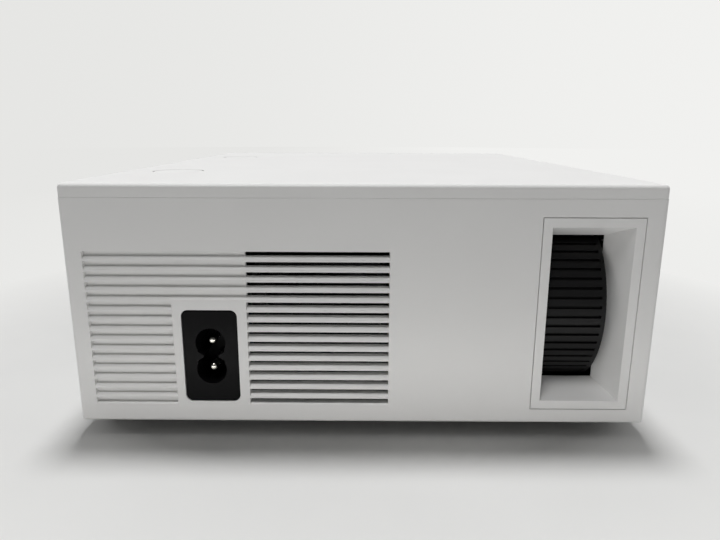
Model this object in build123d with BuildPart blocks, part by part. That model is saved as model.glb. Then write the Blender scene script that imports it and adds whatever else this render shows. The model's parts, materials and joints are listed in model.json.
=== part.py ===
from build123d import *
import math
import os

# A small projector with a disc tray beside its lens. +X is the front, where the lens and the tray
# are. -Y is the side with the louvres, the mains inlet and the window over the focus ring. +Z is up.
# The origin is on the surface that the feet stand on, under the middle of the case.

# ---- Case ----
case_length = 174.0
case_width = 220.0
body_height = 69.2
lid_rim = 4.0
lid_inset = 0.1
seam_edge = 0.25
lid_plate = 2.5
lid_lip_depth = 2.0
lid_lip_thickness = 1.2
wall = 3.0
floor_plate = 3.0
foot_height = 4.0
corner_radius = 1.5
edge_radius = 0.8
lid_edge_radius = 1.35

# ---- Clearances ----
fit_gap = 0.15
slide_gap = 0.4
clear_gap = 0.3
running_gap = 0.05

# ---- Louvres, measured from the rear edge and the bottom edge of the side ----
louvre_rows = 16
louvre_long_rows = 5
louvre_pitch = 3.06
louvre_slot = 1.6
louvre_chamfer = 0.8
louvre_last_chamfer = 0.35
louvre_first_top = 53.62
louvre_start = 5.5
louvre_short_end = 30.5
louvre_open_start = 52.8
louvre_end = 95.1
louvre_blind_depth = 1.5

# ---- Mains inlet ----
inlet_width = 16.5
inlet_height = 29.0
inlet_corner = 2.0
inlet_from_rear = 41.5
inlet_from_bottom = 21.3
inlet_gap = 0.1
inlet_recess = 0.15
inlet_flange = 2.4
inlet_body_width = 13.2
inlet_body_height = 25.0
inlet_body_depth = 19.0
socket_lobe_radius = 4.5
socket_depth = 14.0
socket_shoulder = 0.5
socket_waist = 4.5
socket_notch = 0.6
socket_notch_angle = 33.0
pin_spacing = 8.6
pin_radius = 1.2
pin_recess = 2.0
pin_tail = 3.0

# ---- Window over the focus ring ----
window_from_front = 6.05
window_length = 29.15
window_from_bottom = 4.75
window_height = 58.95
window_gap = 0.2
window_border = 2.7
funnel_depth = 10.0
funnel_skin = 1.3
funnel_inset_front = 5.0
funnel_inset_top = 3.8
funnel_inset_bottom = 4.0

# ---- Lens ----
lens_from_side = 28.5
lens_from_bottom = 34.0
ring_radius = 27.5
ring_length = 17.6
ring_start = 0.5
ring_lands = 60
ring_groove_width = 0.9
ring_groove_depth = 0.9
ring_flange = 1.4
barrel_radius = 17.8
barrel_wall = 2.4
barrel_length = 37.5
barrel_gap = 0.5
tube_wall = 2.3
collar_height = 2.2
collar_width = 1.5
collar_gap = 0.2
tube_flange_size = 50.0
tube_flange_thickness = 2.5
bezel_wall = 2.4
focus_travel = 4.0

# ---- Light engine ----
engine_size = 45.0
engine_wall = 2.5
engine_length = 38.5
light_opening = 26.0

# ---- Cooling ----
fan_size = 40.0
fan_depth = 15.0
fan_bore = 18.9
fan_hub = 9.0
fan_blades = 7
fin_count = 12
fin_thickness = 1.0
heatsink_setback = 2.55
heatsink_base = 3.0

# ---- Keys in the lid ----
key_radius = 8.6
key_gap = 0.35
key_from_rear = 19.8
key_spacing = 110.3
key_shift = -4.5
key_travel = 0.8
key_flange = 1.4
key_post_offset = 12.5

# ---- Feet, screws and the threaded insert ----
foot_radius = 7.0
foot_inset = 16.0
foot_spigot_radius = 3.0
foot_spigot = 1.0
screw_radius = 1.45
screw_head_radius = 2.8
screw_head = 1.7
post_radius = 4.0
insert_radius = 4.0
insert_bore = 2.55
insert_length = 6.5
stud_radius = 3.0
stud_length = 16.0
pad_radius = 8.0
pad_height = 3.0
pad_lift = 0.8

# ---- Boards ----
board_thickness = 1.6
board_height = 4.0
cooler_size = 20.0
cooler_base = 2.0
cooler_height = 7.0
cooler_fins = 7
cooler_fin = 1.4

# ---- Disc loader ----
loader_from_middle = 28.0
loader_height = 19.0
tray_half_width = 64.0
tray_floor = 2.0
tray_rim = 3.0
tray_length = 144.0
tray_travel = 126.0
disc_radius = 60.5
small_disc_radius = 40.5
disc_from_tray_front = 67.0
tray_opening = 24.0
bezel_width = 132.0
bezel_height = 13.5
bezel_thickness = 3.7
bezel_gap = 0.4
chassis_wall = 2.6
chassis_plate = 2.0
tray_above_plate = 14.0
bridge_width = 40.0
bridge_plate = 2.0
clamper_radius = 12.0
clamper_flange = 15.0

# ---- Tray drive ----
rack_module = 1.25
drive_teeth = 14
drive_from_front = 16.0
rack_from_edge = 9.0
rack_thickness = 3.4
rack_spare = 4.0
gear_height = 3.4
pulley_radius = 11.0
motor_pulley_radius = 4.0
belt_size = 1.4
pulley_height = 3.6
shaft_radius = 1.5
motor_radius = 12.0
motor_length = 13.0
motor_from_gear = 32.0

# ---- Traverse with the pickup, in its own frame: pivot at its rear, tilted down in the rest pose ----
traverse_tilt = 5.8
pivot_above_plate = 6.0
traverse_length = 91.0
traverse_half_width = 40.0
traverse_thickness = 2.5
spindle_reach = 71.0
spindle_motor_radius = 11.5
spindle_motor_height = 5.5
turntable_radius = 14.0
turntable_top = 11.4
turntable_thickness = 2.2
hub_radius = 7.3
hub_height = 2.2
guide_rod_radius = 1.5
guide_rod_offset = 18.0
sled_length = 18.0
sled_half_width = 21.0
sled_inner_reach = 24.0
sled_travel = 34.0
feed_module = 0.8
feed_teeth = 14
feed_rack_height = 2.5
cam_pin_radius = 1.5
cam_pin_offset = 20.0
cam_travel = 14.0
cam_plate = 2.0

# ---- Places that follow from the sizes above ----
half_length = case_length / 2
half_width = case_width / 2
inner_x = half_length - wall
inner_y = half_width - wall
side_y = -half_width
body_bottom = foot_height
floor_top = body_bottom + floor_plate
seam_z = body_bottom + body_height
top_z = seam_z + lid_rim
lid_underside = top_z - lid_plate
pierce = wall + 1.0

inlet_x = inlet_from_rear - half_length
inlet_z = body_bottom + inlet_from_bottom
window_rear = half_length - window_from_front - window_length
window_x = window_rear + window_length / 2
window_z = body_bottom + window_from_bottom + window_height / 2
lens_y = side_y + lens_from_side
lens_z = body_bottom + lens_from_bottom
ring_x = window_rear + window_border + ring_start
ring_end = ring_x + ring_length
tube_radius = barrel_radius + running_gap + tube_wall
barrel_front = half_length - focus_travel - barrel_gap
barrel_rear = barrel_front - barrel_length
bezel_inner = barrel_radius + 0.7
bezel_outer = bezel_inner + bezel_wall

tube_rear = barrel_rear + 2.0
engine_front = tube_rear
engine_rear = engine_front - engine_length
vent_x = (louvre_open_start + louvre_end) / 2 - half_length
louvre_top = body_bottom + louvre_first_top
louvre_bottom = louvre_top - (louvre_rows - 1) * louvre_pitch - louvre_slot - louvre_last_chamfer
vent_z = (louvre_top + louvre_bottom) / 2
fan_inner_y = -inner_y + fan_depth

board_bottom = floor_top + board_height
board_top = board_bottom + board_thickness
key_x = key_from_rear - half_length
key_ys = (key_shift - key_spacing / 2, key_shift + key_spacing / 2)
key_board_top = lid_underside - key_flange - 5.2

loader_y = loader_from_middle
plate_bottom = floor_top + loader_height
plate_top = plate_bottom + chassis_plate
tray_bottom = plate_top + tray_above_plate
disc_z = tray_bottom + tray_floor
tray_top = disc_z + tray_rim
tray_front = half_length - bezel_thickness - clear_gap
tray_rear = tray_front - tray_length
disc_x = tray_front - disc_from_tray_front
channel = tray_half_width + slide_gap
chassis_half = channel + chassis_wall
chassis_front = inner_x - 1.0
chassis_rear = tray_rear - slide_gap - chassis_wall - 1.0
wall_top = tray_top + slide_gap + 1.6
bridge_bottom = wall_top
bridge_top = bridge_bottom + bridge_plate
tab_reach = chassis_half + post_radius
tab_rear_x = chassis_rear + 8.0
tab_front_x = chassis_front - 22.0

drive_radius = rack_module * drive_teeth / 2
rack_line = loader_y - tray_half_width + rack_from_edge + rack_thickness + rack_module
drive_x = half_length - drive_from_front
drive_y = rack_line + drive_radius
motor_y = drive_y + motor_from_gear
gear_top = tray_bottom - slide_gap
gear_bottom = gear_top - gear_height
pulley_bottom = plate_top + 2.4
pulley_top = pulley_bottom + pulley_height
belt_z = (pulley_bottom + pulley_top) / 2

pivot_x = disc_x - spindle_reach
pivot_z = plate_top + pivot_above_plate
tilt = math.radians(traverse_tilt)
deck = Plane(
    origin=(pivot_x, loader_y, pivot_z),
    x_dir=(math.cos(tilt), 0, -math.sin(tilt)),
    z_dir=(math.sin(tilt), 0, math.cos(tilt)),
)
deck_top = traverse_thickness / 2
deck_bottom = -traverse_thickness / 2
sled_x = spindle_reach - sled_inner_reach
feed_radius = feed_module * feed_teeth / 2
feed_x = spindle_reach - 15.0
feed_rack_line = -sled_half_width - 3.0
feed_y = feed_rack_line - feed_radius
rack_low = deck_top + clear_gap
rack_high = rack_low + feed_rack_height
cam_pin_reach = traverse_length + 2.0
cam_lift = cam_pin_reach * math.sin(tilt)
cam_x = pivot_x + cam_pin_reach + 0.6
cam_low_z = pivot_z - cam_lift

side_plane = Plane(origin=(0, side_y, 0), x_dir=(1, 0, 0), z_dir=(0, -1, 0))
lens_plane = Plane(origin=(0, lens_y, lens_z), x_dir=(0, 1, 0), z_dir=(1, 0, 0))
fan_plane = Plane(origin=(vent_x, -inner_y, vent_z), x_dir=(1, 0, 0), z_dir=(0, 1, 0))


def block(x, y, z, mode=Mode.ADD):
    """A box between pairs of x, y and z values, in the part that is being built."""
    with Locations(((x[0] + x[1]) / 2, (y[0] + y[1]) / 2, (z[0] + z[1]) / 2)):
        Box(x[1] - x[0], y[1] - y[0], z[1] - z[0], mode=mode)


def rod(start, direction, radius, length, mode=Mode.ADD):
    """A round bar from its start along a direction, in the part that is being built."""
    with Locations(Plane(origin=start, z_dir=direction)):
        Cylinder(radius, length, align=(Align.CENTER, Align.CENTER, Align.MIN), mode=mode)


def tube(start, direction, outer, inner, length):
    """A round tube from its start along a direction, in the part that is being built."""
    rod(start, direction, outer, length)
    rod(start, direction, inner, length, mode=Mode.SUBTRACT)


def save(part, name):
    """Label a finished piece and write its STEP file."""
    part.label = name
    export_step(part, f"parts/{name}.step")


def louvre_section(plane, first, last, depth):
    """Section through louvre rows first to last, with the chamfer on each bar's upper edge."""
    with BuildSketch(plane) as section:
        for row in range(first, last):
            top = louvre_top - row * louvre_pitch
            low = top - louvre_slot
            chamfer = louvre_last_chamfer if row == louvre_rows - 1 else louvre_chamfer
            with BuildLine():
                Polyline(
                    (side_y - 1, low - chamfer), (side_y - 1, top), (side_y + depth, top),
                    (side_y + depth, low), (side_y + chamfer, low), (side_y, low - chamfer), close=True,
                )
            make_face()
    return section.sketch


def gear_section(plane, teeth, module, gap_direction):
    """A spur gear's outline, with the gap between two teeth pointing in gap_direction."""
    pitch_radius = module * teeth / 2
    step = 360 / teeth
    profile = [
        (pitch_radius - 1.15 * module, -0.36), (pitch_radius, -0.22),
        (pitch_radius + 0.9 * module, -0.08), (pitch_radius + 0.9 * module, 0.08),
        (pitch_radius, 0.22), (pitch_radius - 1.15 * module, 0.36),
    ]
    points = []
    for tooth in range(teeth):
        middle = gap_direction + (tooth + 0.5) * step
        for radius, share in profile:
            angle = math.radians(middle + share * step)
            points.append((radius * math.cos(angle), radius * math.sin(angle)))
    with BuildSketch(plane) as section:
        with BuildLine():
            Polyline(*points, close=True)
        make_face()
    return section.sketch


def rack_section(plane, module, line, start, end, phase, side, back):
    """A rack's outline along the plane's x: teeth on the line's side, with a bar behind them."""
    pitch = math.pi * module
    root = line - side * 1.15 * module
    tip = line + side * 0.9 * module
    points = [(start, root - side * back), (start, root)]
    first = math.ceil((start + 0.4 * pitch - phase) / pitch)
    last = math.floor((end - 0.4 * pitch - phase) / pitch)
    for tooth in range(first, last + 1):
        middle = phase + tooth * pitch
        points += [
            (middle - 0.35 * pitch, root), (middle - 0.12 * pitch, tip),
            (middle + 0.12 * pitch, tip), (middle + 0.35 * pitch, root),
        ]
    points += [(end, root), (end, root - side * back)]
    with BuildSketch(plane) as section:
        with BuildLine():
            Polyline(*points, close=True)
        make_face()
    return section.sketch


# ---- Fastening points ----
lid_screws = [
    (-inner_x + 4.0, -inner_y + 4.0), (-inner_x + 4.0, inner_y - 4.0),
    (inner_x - 5.5, lens_y + ring_radius + 2.0), (inner_x - 6.0, inner_y - 4.5),
]
feet = [
    (x, y) for x in (-half_length + foot_inset, half_length - foot_inset)
    for y in (-half_width + foot_inset, half_width - foot_inset)
]
loader_posts = [
    (x, loader_y + side * tab_reach) for x in (tab_rear_x, tab_front_x) for side in (-1, 1)
]
main_board_x = (-inner_x + 1.0, 30.0)
main_board_y = (-30.0, 86.0)
board_posts = [
    (x, y) for x in (main_board_x[0] + 14.0, main_board_x[1] - 5.0)
    for y in (main_board_y[0] + 5.0, main_board_y[1] - 5.0)
]
power_board_x = (-inner_x + 1.0, vent_x - fan_size / 2 - 5.0)
power_board_y = (side_y + inlet_body_depth + 3.0, loader_y - chassis_half - 8.0)
power_posts = [
    (x, y) for x in (power_board_x[0] + 5.0, power_board_x[1] - 5.0)
    for y in (power_board_y[0] + 5.0, power_board_y[1] - 5.0)
]
engine_posts = [(engine_rear + 8.0, lens_y), (engine_front - 8.0, lens_y)]
foot_stud = (50.0, loader_y - chassis_half - 10.5)
boss_height = 6.0

# ---- Ports on the main board, along the rear ----
port_face = -half_length + 0.7
port_depth = 12.0
hdmi_y = -12.0
usb_y = (9.0, 27.0)
jack_y = (43.0, 56.0)
hdmi_size = (14.9, 5.6)
usb_size = (13.2, 6.0)
shell = 0.5
jack_size = 6.6
jack_bore = 1.8
port_panel_y = (-26.0, 68.0)
port_panel_below = 1.6
port_panel_above = 11.0
port_panel_z = (board_bottom - port_panel_below, board_top + port_panel_above)
port_panel_thickness = 2.0

# ---- Speaker behind the rear wall ----
speaker_from_side = 38.0
speaker_y = half_width - speaker_from_side
speaker_z = 45.0
speaker_width = 40.0
speaker_height = 28.0
speaker_depth = 11.0
speaker_rim = 3.0
speaker_basket = 3.0
speaker_dish = 2.0
magnet_radius = 11.0
dust_cap_radius = 6.0
dust_cap_top = 0.8

# ---- Lower case ----
with BuildPart() as lower_case:
    with BuildSketch(Plane.XY.offset(body_bottom)):
        RectangleRounded(case_length, case_width, corner_radius)
    extrude(amount=body_height)
    fillet(lower_case.faces().sort_by(Axis.Z)[0].edges(), radius=edge_radius)
    fillet(lower_case.faces().sort_by(Axis.Z)[-1].edges(), radius=seam_edge)
    block((-inner_x, half_length), (-inner_y, inner_y), (floor_top, seam_z), Mode.SUBTRACT)

    # Louvres: closed grooves over the rear part, slots through the wall in front of the fan.
    for first, last, start, end, depth in (
        (0, louvre_long_rows, louvre_start, louvre_open_start, louvre_blind_depth),
        (louvre_long_rows, louvre_rows, louvre_start, louvre_short_end, louvre_blind_depth),
        (0, louvre_rows, louvre_open_start, louvre_end, pierce),
    ):
        section = louvre_section(Plane.YZ.offset(start - half_length), first, last, depth)
        extrude(section, amount=end - start, mode=Mode.SUBTRACT)
    # The far side takes air in through the same louvres, without the inlet.
    intake = louvre_section(Plane.YZ.offset(louvre_start - half_length), 0, louvre_rows, pierce)
    intake = mirror(intake, about=Plane.XZ, mode=Mode.PRIVATE)
    extrude(intake, amount=louvre_end - louvre_open_start, mode=Mode.SUBTRACT)

    with BuildSketch(side_plane):
        with Locations((inlet_x, inlet_z)):
            RectangleRounded(
                inlet_width + 2 * inlet_gap, inlet_height + 2 * inlet_gap, inlet_corner + inlet_gap
            )
        with Locations((window_x, window_z)):
            Rectangle(window_length + 2 * window_gap, window_height + 2 * window_gap)
    extrude(amount=-pierce, mode=Mode.SUBTRACT)

    # Rear wall: an opening for the port panel and slots in front of the speaker.
    block((-half_length - 1, -inner_x + 1), port_panel_y, port_panel_z, Mode.SUBTRACT)
    with BuildSketch(Plane(origin=(-half_length, speaker_y, speaker_z), z_dir=(-1, 0, 0))):
        with GridLocations(louvre_pitch, 0, 8, 1):
            SlotOverall(speaker_width - 8, louvre_slot, rotation=90)
    extrude(amount=-pierce, mode=Mode.SUBTRACT)

    # Ribs that the front panel stands against.
    for side in (-1, 1):
        edge = sorted((side * inner_y, side * (inner_y - 2.5)))
        block((inner_x - 1.6, inner_x - fit_gap), edge, (floor_top, seam_z - 4.0))

    # Bosses and posts on the floor, and the holes under them.
    for x, y in lid_screws:
        rod((x, y, floor_top), (0, 0, 1), post_radius + 0.5, boss_height)
        rod((x, y, body_bottom), (0, 0, 1), screw_head_radius + 0.2, boss_height, Mode.SUBTRACT)
        rod((x, y, body_bottom), (0, 0, 1), screw_radius + 0.1, boss_height * 2, Mode.SUBTRACT)
    for places, height in (
        (loader_posts, loader_height), (board_posts, board_height), (power_posts, board_height),
    ):
        for x, y in places:
            rod((x, y, floor_top), (0, 0, 1), post_radius - 0.5, height)
            rod((x, y, floor_top), (0, 0, 1), screw_radius + running_gap, height, Mode.SUBTRACT)
    for x, y in engine_posts:
        rod((x, y, floor_top), (0, 0, 1), post_radius, lens_z - engine_size / 2 - floor_top)
    for x, y in feet:
        rod((x, y, body_bottom), (0, 0, 1), foot_spigot_radius + fit_gap, foot_spigot + fit_gap,
            Mode.SUBTRACT)
    rod((0, 0, floor_top), (0, 0, 1), insert_radius + 2.0, insert_length - floor_plate)
    rod((0, 0, body_bottom), (0, 0, 1), insert_radius, insert_length, Mode.SUBTRACT)
    rod((*foot_stud, floor_top), (0, 0, 1), stud_radius + 2.5, stud_length - floor_plate)
    rod((*foot_stud, body_bottom), (0, 0, 1), stud_radius + running_gap, stud_length, Mode.SUBTRACT)
save(lower_case.part, "lower_case")

# ---- Top cover ----
with BuildPart() as top_cover:
    with BuildSketch(Plane.XY.offset(seam_z)):
        RectangleRounded(
            case_length - 2 * lid_inset, case_width - 2 * lid_inset, corner_radius - lid_inset,
        )
    extrude(amount=lid_rim)
    fillet(top_cover.faces().sort_by(Axis.Z)[-1].edges(), radius=lid_edge_radius)
    block((-inner_x, inner_x), (-inner_y, inner_y), (seam_z, lid_underside), Mode.SUBTRACT)
    with BuildSketch(Plane.XY.offset(seam_z - lid_lip_depth)):
        lip_length = 2 * (inner_x - fit_gap)
        lip_width = 2 * (inner_y - fit_gap)
        Rectangle(lip_length, lip_width)
        Rectangle(lip_length - 2 * lid_lip_thickness, lip_width - 2 * lid_lip_thickness,
                  mode=Mode.SUBTRACT)
    extrude(amount=lid_underside - seam_z + lid_lip_depth)
    for x, y in lid_screws:
        boss_end = floor_top + boss_height
        rod((x, y, boss_end), (0, 0, 1), post_radius - 0.5, lid_underside - boss_end)
        rod((x, y, boss_end), (0, 0, 1), screw_radius + running_gap, 12.0, Mode.SUBTRACT)
    for y in key_ys:
        for shift in (-key_post_offset, key_post_offset):
            rod((key_x, y + shift, key_board_top), (0, 0, 1), 2.0, lid_underside - key_board_top)
        rod((key_x, y, lid_underside - 1), (0, 0, 1), key_radius + key_gap, lid_plate + 2, Mode.SUBTRACT)
save(top_cover.part, "top_cover")

# ---- Front panel, with its lens opening, tray slot and infrared window ----
slot_half = bezel_width / 2 + bezel_gap
bezel_z = (tray_bottom - 3.4, tray_bottom - 3.4 + bezel_height)
ir_y = (lens_y + bezel_outer + loader_y - slot_half) / 2
ir_z = seam_z - 9.0
ir_size = (12.0, 6.0)
with BuildPart() as front_panel:
    block((inner_x, half_length), (-inner_y + fit_gap, inner_y - fit_gap), (floor_top, seam_z - fit_gap))
    rod((inner_x - 1, lens_y, lens_z), (1, 0, 0), bezel_outer + 0.1, pierce + 1, Mode.SUBTRACT)
    block((inner_x - 1, half_length + 1), (loader_y - slot_half, loader_y + slot_half),
          (bezel_z[0] - bezel_gap, bezel_z[1] + bezel_gap), Mode.SUBTRACT)
    with BuildSketch(Plane(origin=(half_length, ir_y, ir_z), x_dir=(0, 1, 0), z_dir=(1, 0, 0))):
        SlotOverall(*ir_size)
    extrude(amount=-pierce, mode=Mode.SUBTRACT)
    # The small hole that a wire goes through to free a stuck tray.
    rod((inner_x - 1, loader_y + slot_half - 12, bezel_z[0] - 4.0), (1, 0, 0), 0.6, pierce + 1,
        Mode.SUBTRACT)
save(front_panel.part, "front_panel")

with BuildPart() as ir_window:
    with BuildSketch(Plane(origin=(half_length - 0.2, ir_y, ir_z), x_dir=(0, 1, 0), z_dir=(1, 0, 0))):
        SlotOverall(ir_size[0] - 0.2, ir_size[1] - 0.2)
    extrude(amount=-(wall - 0.2))
save(ir_window.part, "ir_window")

with BuildPart() as lens_bezel:
    with BuildSketch(Plane(origin=(0, lens_y, lens_z), x_dir=(1, 0, 0), z_dir=(0, -1, 0))):
        with BuildLine():
            Polyline(
                (inner_x - 0.6, bezel_inner), (half_length - 1.2, bezel_inner),
                (half_length, bezel_inner + 1.2), (half_length, bezel_outer),
                (inner_x - 0.6, bezel_outer), close=True,
            )
        make_face()
    revolve(axis=Axis((0, lens_y, lens_z), (1, 0, 0)))
save(lens_bezel.part, "lens_bezel")

# ---- Port panel ----
with BuildPart() as port_panel:
    block((-half_length + 0.5, -half_length + 0.5 + port_panel_thickness),
          (port_panel_y[0] + fit_gap, port_panel_y[1] - fit_gap),
          (port_panel_z[0] + fit_gap, port_panel_z[1] - fit_gap))
    ports = [(hdmi_y, *hdmi_size)]
    ports += [(y, *usb_size) for y in usb_y]
    ports += [(y, jack_size, jack_size) for y in jack_y]
    for y, width, height in ports:
        block((-half_length, -half_length + 4), (y - width / 2 - fit_gap, y + width / 2 + fit_gap),
              (board_top - fit_gap, board_top + height + fit_gap), Mode.SUBTRACT)
save(port_panel.part, "port_panel")


def port_shell(y, width, height, tongue):
    """A folded metal port shell on the board, open at the rear, with its contact tongue."""
    box_x = (port_face, port_face + port_depth)
    block(box_x, (y - width / 2, y + width / 2), (board_top, board_top + height))
    block((port_face, port_face + port_depth - shell), (y - width / 2 + shell, y + width / 2 - shell),
          (board_top + shell, board_top + height - shell), Mode.SUBTRACT)
    middle = board_top + height / 2
    block((port_face + 1.5, port_face + port_depth), (y - width / 2 + 2, y + width / 2 - 2),
          (middle - tongue / 2, middle + tongue / 2))


with BuildPart() as hdmi_port:
    port_shell(hdmi_y, *hdmi_size, 0.9)
save(hdmi_port.part, "hdmi_port")

with BuildPart() as usb_ports:
    for y in usb_y:
        port_shell(y, *usb_size, 1.6)
save(usb_ports.part, "usb_ports")

jack_z = board_top + jack_size / 2
with BuildPart() as audio_jacks:
    for y in jack_y:
        block((port_face, port_face + 14.0), (y - jack_size / 2, y + jack_size / 2),
              (board_top, board_top + jack_size))
        rod((port_face, y, jack_z), (1, 0, 0), jack_bore, 13.0, Mode.SUBTRACT)
save(audio_jacks.part, "audio_jacks")

# ---- Focus window frame: a flush insert with a recess that narrows towards the ring ----
with BuildPart() as focus_window_frame:
    left = window_rear
    right = window_rear + window_length
    low = body_bottom + window_from_bottom
    high = low + window_height
    block((left, right), (side_y, side_y + wall), (low, high))
    opening = (left + window_border, right - window_border, low + window_border, high - window_border)
    inner = (opening[0], opening[1] - funnel_inset_front, opening[2] + funnel_inset_bottom,
             opening[3] - funnel_inset_top)
    # The walls of the recess reach inwards, as a skin around the tapering space.
    for grow, mode in ((funnel_skin, Mode.ADD), (0.0, Mode.SUBTRACT)):
        with BuildSketch(side_plane) as mouth:
            with Locations(((opening[0] + opening[1]) / 2, (opening[2] + opening[3]) / 2)):
                Rectangle(opening[1] - opening[0] + 2 * grow, opening[3] - opening[2] + 2 * grow)
        with BuildSketch(side_plane.offset(-funnel_depth)) as throat:
            with Locations(((inner[0] + inner[1]) / 2, (inner[2] + inner[3]) / 2)):
                Rectangle(inner[1] - inner[0] + 2 * grow, inner[3] - inner[2] + 2 * grow)
        loft([mouth.sketch.face(), throat.sketch.face()], ruled=True, mode=mode)
    # The rear wall of the recess stops short, because the ring stands close behind it.
    block((opening[0] - 2, opening[0] + 0.01), (side_y + wall, side_y + funnel_depth + 1), (low, high),
          Mode.SUBTRACT)
save(focus_window_frame.part, "focus_window_frame")

# ---- Mains inlet: a two-pin figure-eight socket ----
with BuildPart() as mains_inlet:
    face = side_plane.offset(-inlet_recess)
    with BuildSketch(face):
        with Locations((inlet_x, inlet_z)):
            RectangleRounded(inlet_width, inlet_height, inlet_corner)
    extrude(amount=-inlet_flange)
    fillet(mains_inlet.faces().sort_by(Axis.Y)[0].edges(), radius=0.4)
    with BuildSketch(face.offset(-inlet_flange)):
        with Locations((inlet_x, inlet_z)):
            RectangleRounded(inlet_body_width, inlet_body_height, 1.5)
    extrude(amount=-(inlet_body_depth - inlet_flange))
    with BuildSketch(face):
        with Locations((inlet_x, inlet_z + pin_spacing / 2), (inlet_x, inlet_z - pin_spacing / 2)):
            Circle(socket_lobe_radius)
        with Locations((inlet_x, inlet_z)):
            Rectangle(2 * (socket_lobe_radius - socket_shoulder), pin_spacing)
            # The two lobes meet at a waist, between notches that open outwards.
            rise = (socket_lobe_radius - socket_waist / 2) * math.tan(math.radians(socket_notch_angle))
            for side in (-1, 1):
                tip = side * socket_waist / 2
                mouth = side * socket_lobe_radius
                half = socket_notch / 2
                Polygon((tip, -half), (mouth, -half - rise), (mouth, half + rise), (tip, half),
                        align=None, mode=Mode.SUBTRACT)
    extrude(amount=-socket_depth, mode=Mode.SUBTRACT)
    for side in (-1, 1):
        rod((inlet_x, side_y, inlet_z + side * pin_spacing / 2), (0, 1, 0), pin_radius + 0.02,
            inlet_body_depth + 1, Mode.SUBTRACT)
save(mains_inlet.part, "mains_inlet")

with BuildPart() as inlet_pins:
    pin_length = inlet_body_depth + pin_tail - pin_recess
    for side in (-1, 1):
        rod((inlet_x, side_y + pin_recess, inlet_z + side * pin_spacing / 2), (0, 1, 0), pin_radius,
            pin_length)
    fillet(inlet_pins.edges().group_by(Axis.Y)[0], radius=pin_radius * 0.8)
save(inlet_pins.part, "inlet_pins")

# ---- Focus ring and lens ----
with BuildPart() as focus_ring:
    tube((ring_x, lens_y, lens_z), (1, 0, 0), ring_radius, tube_radius + running_gap, ring_length)
    rod((ring_end - collar_width - collar_gap, lens_y, lens_z), (1, 0, 0),
        tube_radius + collar_height + collar_gap, collar_width + 1, Mode.SUBTRACT)
    with BuildSketch(lens_plane.offset(ring_x)):
        with PolarLocations(ring_radius, ring_lands):
            Rectangle(2 * ring_groove_depth, ring_groove_width)
    extrude(amount=ring_length - ring_flange, mode=Mode.SUBTRACT)
    fillet(focus_ring.edges().filter_by(GeomType.CIRCLE).sort_by(Axis.X).group_by(Axis.X)[-1]
           .sort_by(SortBy.RADIUS)[-1], radius=0.4)
save(focus_ring.part, "focus_ring")

with BuildPart() as lens_tube:
    tube_front = ring_end
    rod((tube_rear, lens_y, lens_z), (1, 0, 0), tube_radius, tube_front - tube_rear)
    for collar_x in (ring_x - collar_gap - collar_width, ring_end - collar_width):
        rod((collar_x, lens_y, lens_z), (1, 0, 0), tube_radius + collar_height, collar_width)
    half = tube_flange_size / 2
    block((tube_rear, tube_rear + tube_flange_thickness), (lens_y - half, lens_y + half),
          (lens_z - half, lens_z + half))
    fillet(lens_tube.edges().filter_by(Axis.X), radius=3.0)
    rod((tube_rear - 1, lens_y, lens_z), (1, 0, 0), barrel_radius + running_gap,
        tube_front - tube_rear + 2, Mode.SUBTRACT)
save(lens_tube.part, "lens_tube")

front_glass_x = barrel_front - 5.0
rear_glass_x = barrel_rear + 6.0
glass_seat = barrel_radius - barrel_wall
glass_rim = 3.2
with BuildPart() as lens_barrel:
    rod((barrel_rear, lens_y, lens_z), (1, 0, 0), barrel_radius, barrel_length)
    rod((barrel_rear - 1, lens_y, lens_z), (1, 0, 0), glass_seat, barrel_length + 2, Mode.SUBTRACT)
    fillet(lens_barrel.edges().filter_by(GeomType.CIRCLE).group_by(Axis.X)[-1], radius=0.5)
    # Inner shoulders that the two glasses sit against.
    for seat in (front_glass_x - 8.0, rear_glass_x + 6.0):
        tube((seat, lens_y, lens_z), (1, 0, 0), glass_seat + 0.5, glass_seat - 3.0, 2.0)
save(lens_barrel.part, "lens_barrel")


def dome(x, bulge, rise):
    """An arc from the lens axis to a height of rise, standing out from x by bulge at the axis."""
    sphere = (rise ** 2 + bulge ** 2) / (2 * abs(bulge))
    sag = sphere - math.sqrt(sphere ** 2 - rise ** 2 / 4)
    return ThreePointArc((x + bulge, 0), (x + bulge - math.copysign(sag, bulge), rise / 2), (x, rise))


def glass(x, front_bulge, rear_bulge, edge, radius):
    """A round lens with its flat rim from x to x + edge, domed inside the rim by the two bulges."""
    rise = radius - glass_rim
    with BuildSketch(Plane(origin=(0, lens_y, lens_z), x_dir=(1, 0, 0), z_dir=(0, -1, 0))) as section:
        with BuildLine():
            dome(x + edge, front_bulge, rise)
            Polyline((x + edge, rise), (x + edge, radius), (x, radius), (x, rise))
            dome(x, -rear_bulge, rise)
            Line((x - rear_bulge, 0), (x + edge + front_bulge, 0))
        make_face()
    return section.sketch


lens_axis = Axis((0, lens_y, lens_z), (1, 0, 0))
with BuildPart() as front_lens:
    revolve(glass(front_glass_x - 6.0, 3.0, 0.6, 3.0, glass_seat - running_gap), axis=lens_axis)
save(front_lens.part, "front_lens")

with BuildPart() as rear_lens:
    revolve(glass(rear_glass_x, 1.0, 3.0, 6.0, glass_seat - running_gap), axis=lens_axis)
save(rear_lens.part, "rear_lens")

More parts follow.
